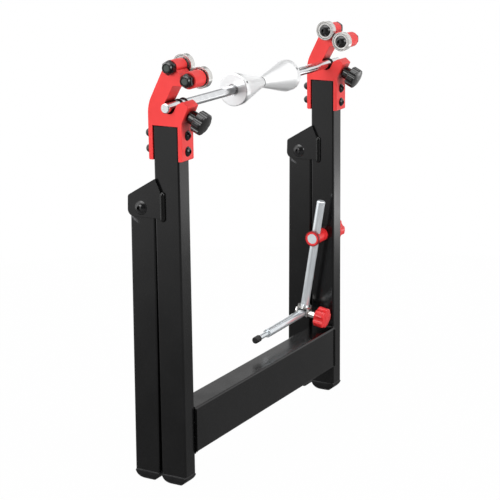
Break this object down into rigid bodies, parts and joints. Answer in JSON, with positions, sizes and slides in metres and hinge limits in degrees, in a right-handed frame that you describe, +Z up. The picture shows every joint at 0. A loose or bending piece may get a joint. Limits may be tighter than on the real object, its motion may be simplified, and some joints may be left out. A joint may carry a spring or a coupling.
{
  "type": "motorcycle wheel balancer",
  "caption": "Folding bench stand for balancing and truing a wheel: tube posts on a cross-bar, folding legs, roller heads, a shaft with centring cones and an adjustable rim gauge.",
  "frame": {"origin": "Centre of the bounding box's footprint, on the floor that the stored stand rests on.", "axes": "+X along the shaft towards the post with the gauge, -Y towards the clamp knobs and the slot mouths, +Y towards the folded legs, +Z up."},
  "size_m": [0.3896, 0.0934, 0.4567],
  "materials": {
    "black_paint": "satin black powder coat on steel",
    "red_paint": "satin red powder coat on steel",
    "red_plastic": "moulded red plastic",
    "black_plastic": "moulded black plastic",
    "black_steel": "black-oxide steel",
    "bearing_steel": "ground bearing steel",
    "chrome": "bright plated steel",
    "aluminium": "turned aluminium",
    "rubber": "black rubber"
  },
  "bodies": {
    "frame": {"post_left": "black_paint", "post_right": "black_paint", "cross_bar": "black_paint", "bracket_left": "black_paint", "bracket_right": "black_paint", "weld_beads": "black_paint", "head_left": "red_paint", "head_right": "red_paint", "head_bolts": "black_steel", "head_nuts": "black_steel", "post_feet": "black_plastic", "pivot_bolts": "black_steel", "pivot_nuts": "black_steel", "roller_inner_rings": "bearing_steel", "roller_washers": "bearing_steel", "roller_screws": "black_steel", "roller_nuts": "black_steel"},
    "left_leg": {"leg_left": "black_paint", "leg_foot_left": "black_plastic", "leg_bush_left": "bearing_steel"},
    "right_leg": {"leg_right": "black_paint", "leg_foot_right": "black_plastic", "leg_bush_right": "bearing_steel"},
    "roller_left_rear": {"roller_left_rear": "bearing_steel"},
    "balls_left_rear": {"balls_left_rear": "bearing_steel"},
    "roller_left_front": {"roller_left_front": "bearing_steel"},
    "balls_left_front": {"balls_left_front": "bearing_steel"},
    "roller_right_rear": {"roller_right_rear": "bearing_steel"},
    "balls_right_rear": {"balls_right_rear": "bearing_steel"},
    "roller_right_front": {"roller_right_front": "bearing_steel"},
    "balls_right_front": {"balls_right_front": "bearing_steel"},
    "clamp_stud_left": {"clamp_stud_left": "chrome"},
    "clamp_knob_left": {"clamp_knob_left": "black_plastic"},
    "clamp_stud_right": {"clamp_stud_right": "chrome"},
    "clamp_knob_right": {"clamp_knob_right": "black_plastic"},
    "shaft_rings": {"shaft_rings": "rubber"},
    "shaft": {"shaft": "chrome"},
    "cone_left": {"cone_left": "aluminium", "cone_screw_left": "black_steel"},
    "cone_right": {"cone_right": "aluminium", "cone_screw_right": "black_steel"},
    "gauge_swivel": {"gauge_stud": "chrome", "gauge_sleeve": "red_plastic"},
    "gauge_knob": {"gauge_knob": "red_plastic"},
    "gauge_rod": {"gauge_rod": "chrome", "gauge_fork": "chrome", "arm_stud": "chrome"},
    "arm_knob": {"arm_knob": "red_plastic"},
    "arm": {"arm_tube": "chrome"},
    "pointer": {"pointer_rod": "chrome", "pointer_tip": "rubber"}
  },
  "joints": [
    {"name": "left_leg_fold", "type": "hinge", "parent": "frame", "child": "left_leg", "pos_m": [-0.17545, 0.02858, 0.3], "axis": [1, 0, 0], "range_deg": [0, 58]},
    {"name": "right_leg_fold", "type": "hinge", "parent": "frame", "child": "right_leg", "pos_m": [0.16955, 0.02858, 0.3], "axis": [1, 0, 0], "range_deg": [0, 58]},
    {"name": "roller_left_rear_spin", "type": "hinge", "parent": "frame", "child": "roller_left_rear", "pos_m": [-0.16155, -0.00986, 0.44567], "axis": [1, 0, 0], "continuous": true},
    {"name": "balls_left_rear_orbit", "type": "hinge", "parent": "frame", "child": "balls_left_rear", "pos_m": [-0.16155, -0.00986, 0.44567], "axis": [1, 0, 0], "continuous": true},
    {"name": "roller_left_front_spin", "type": "hinge", "parent": "frame", "child": "roller_left_front", "pos_m": [-0.16155, -0.03038, 0.43383], "axis": [1, 0, 0], "continuous": true},
    {"name": "balls_left_front_orbit", "type": "hinge", "parent": "frame", "child": "balls_left_front", "pos_m": [-0.16155, -0.03038, 0.43383], "axis": [1, 0, 0], "continuous": true},
    {"name": "roller_right_rear_spin", "type": "hinge", "parent": "frame", "child": "roller_right_rear", "pos_m": [0.15345, -0.00986, 0.44567], "axis": [1, 0, 0], "continuous": true},
    {"name": "balls_right_rear_orbit", "type": "hinge", "parent": "frame", "child": "balls_right_rear", "pos_m": [0.15345, -0.00986, 0.44567], "axis": [1, 0, 0], "continuous": true},
    {"name": "roller_right_front_spin", "type": "hinge", "parent": "frame", "child": "roller_right_front", "pos_m": [0.15345, -0.03038, 0.43383], "axis": [1, 0, 0], "continuous": true},
    {"name": "balls_right_front_orbit", "type": "hinge", "parent": "frame", "child": "balls_right_front", "pos_m": [0.15345, -0.03038, 0.43383], "axis": [1, 0, 0], "continuous": true},
    {"name": "clamp_travel_left", "type": "slide", "parent": "frame", "child": "clamp_stud_left", "axis": [0, -0.8988, -0.4384], "range_m": [-0.0015, 0.004]},
    {"name": "clamp_turn_left", "type": "hinge", "parent": "clamp_stud_left", "child": "clamp_knob_left", "pos_m": [-0.17545, -0.00692, 0.4054], "axis": [0, -0.8988, -0.4384], "range_deg": [-538, 1438]},
    {"name": "clamp_travel_right", "type": "slide", "parent": "frame", "child": "clamp_stud_right", "axis": [0, -0.8988, -0.4384], "range_m": [-0.0015, 0.004]},
    {"name": "clamp_turn_right", "type": "hinge", "parent": "clamp_stud_right", "child": "clamp_knob_right", "pos_m": [0.16955, -0.00692, 0.4054], "axis": [0, -0.8988, -0.4384], "range_deg": [-538, 1438]},
    {"name": "shaft_lift", "type": "slide", "parent": "frame", "child": "shaft_rings", "axis": [0, -0.5, 0.866], "range_m": [0, 0.015]},
    {"name": "shaft_spin", "type": "hinge", "parent": "shaft_rings", "child": "shaft", "pos_m": [-0.00045, -0.00692, 0.4054], "axis": [1, 0, 0], "continuous": true},
    {"name": "cone_slide_left", "type": "slide", "parent": "shaft", "child": "cone_left", "axis": [-1, 0, 0], "range_m": [0, 0.08]},
    {"name": "cone_slide_right", "type": "slide", "parent": "shaft", "child": "cone_right", "axis": [1, 0, 0], "range_m": [0, 0.08]},
    {"name": "gauge_swing", "type": "hinge", "parent": "frame", "child": "gauge_swivel", "pos_m": [0.15455, -0.00162, 0.1995], "axis": [1, 0, 0], "range_deg": [0, 120]},
    {"name": "gauge_knob_turn", "type": "hinge", "parent": "gauge_swivel", "child": "gauge_knob", "pos_m": [0.18655, -0.00162, 0.1995], "axis": [1, 0, 0], "range_deg": [0, 360]},
    {"name": "gauge_rod_slide", "type": "slide", "parent": "gauge_swivel", "child": "gauge_rod", "axis": [0, -0.1668, 0.986], "range_m": [0, 0.07]},
    {"name": "arm_tilt", "type": "hinge", "parent": "gauge_rod", "child": "arm", "pos_m": [0.14155, 0.01442, 0.10465], "axis": [0, 0.986, 0.1668], "range_deg": [-35, 5]},
    {"name": "arm_knob_turn", "type": "hinge", "parent": "gauge_rod", "child": "arm_knob", "pos_m": [0.14155, 0.01442, 0.10465], "axis": [0, -0.986, -0.1668], "range_deg": [0, 360]},
    {"name": "pointer_slide", "type": "slide", "parent": "arm", "child": "pointer", "axis": [-0.9997, 0.0044, -0.0258], "range_m": [-0.019, 0.03]}
  ],
  "couplings": [
    {"joint": "balls_left_rear_orbit", "follows": "roller_left_rear_spin", "ratio": 0.63333},
    {"joint": "balls_left_front_orbit", "follows": "roller_left_front_spin", "ratio": 0.63333},
    {"joint": "balls_right_rear_orbit", "follows": "roller_right_rear_spin", "ratio": 0.63333},
    {"joint": "balls_right_front_orbit", "follows": "roller_right_front_spin", "ratio": 0.63333},
    {"joint": "clamp_travel_left", "follows": "clamp_turn_left", "m_per_rad": 0.00015915},
    {"joint": "clamp_travel_right", "follows": "clamp_turn_right", "m_per_rad": 0.00015915}
  ]
}
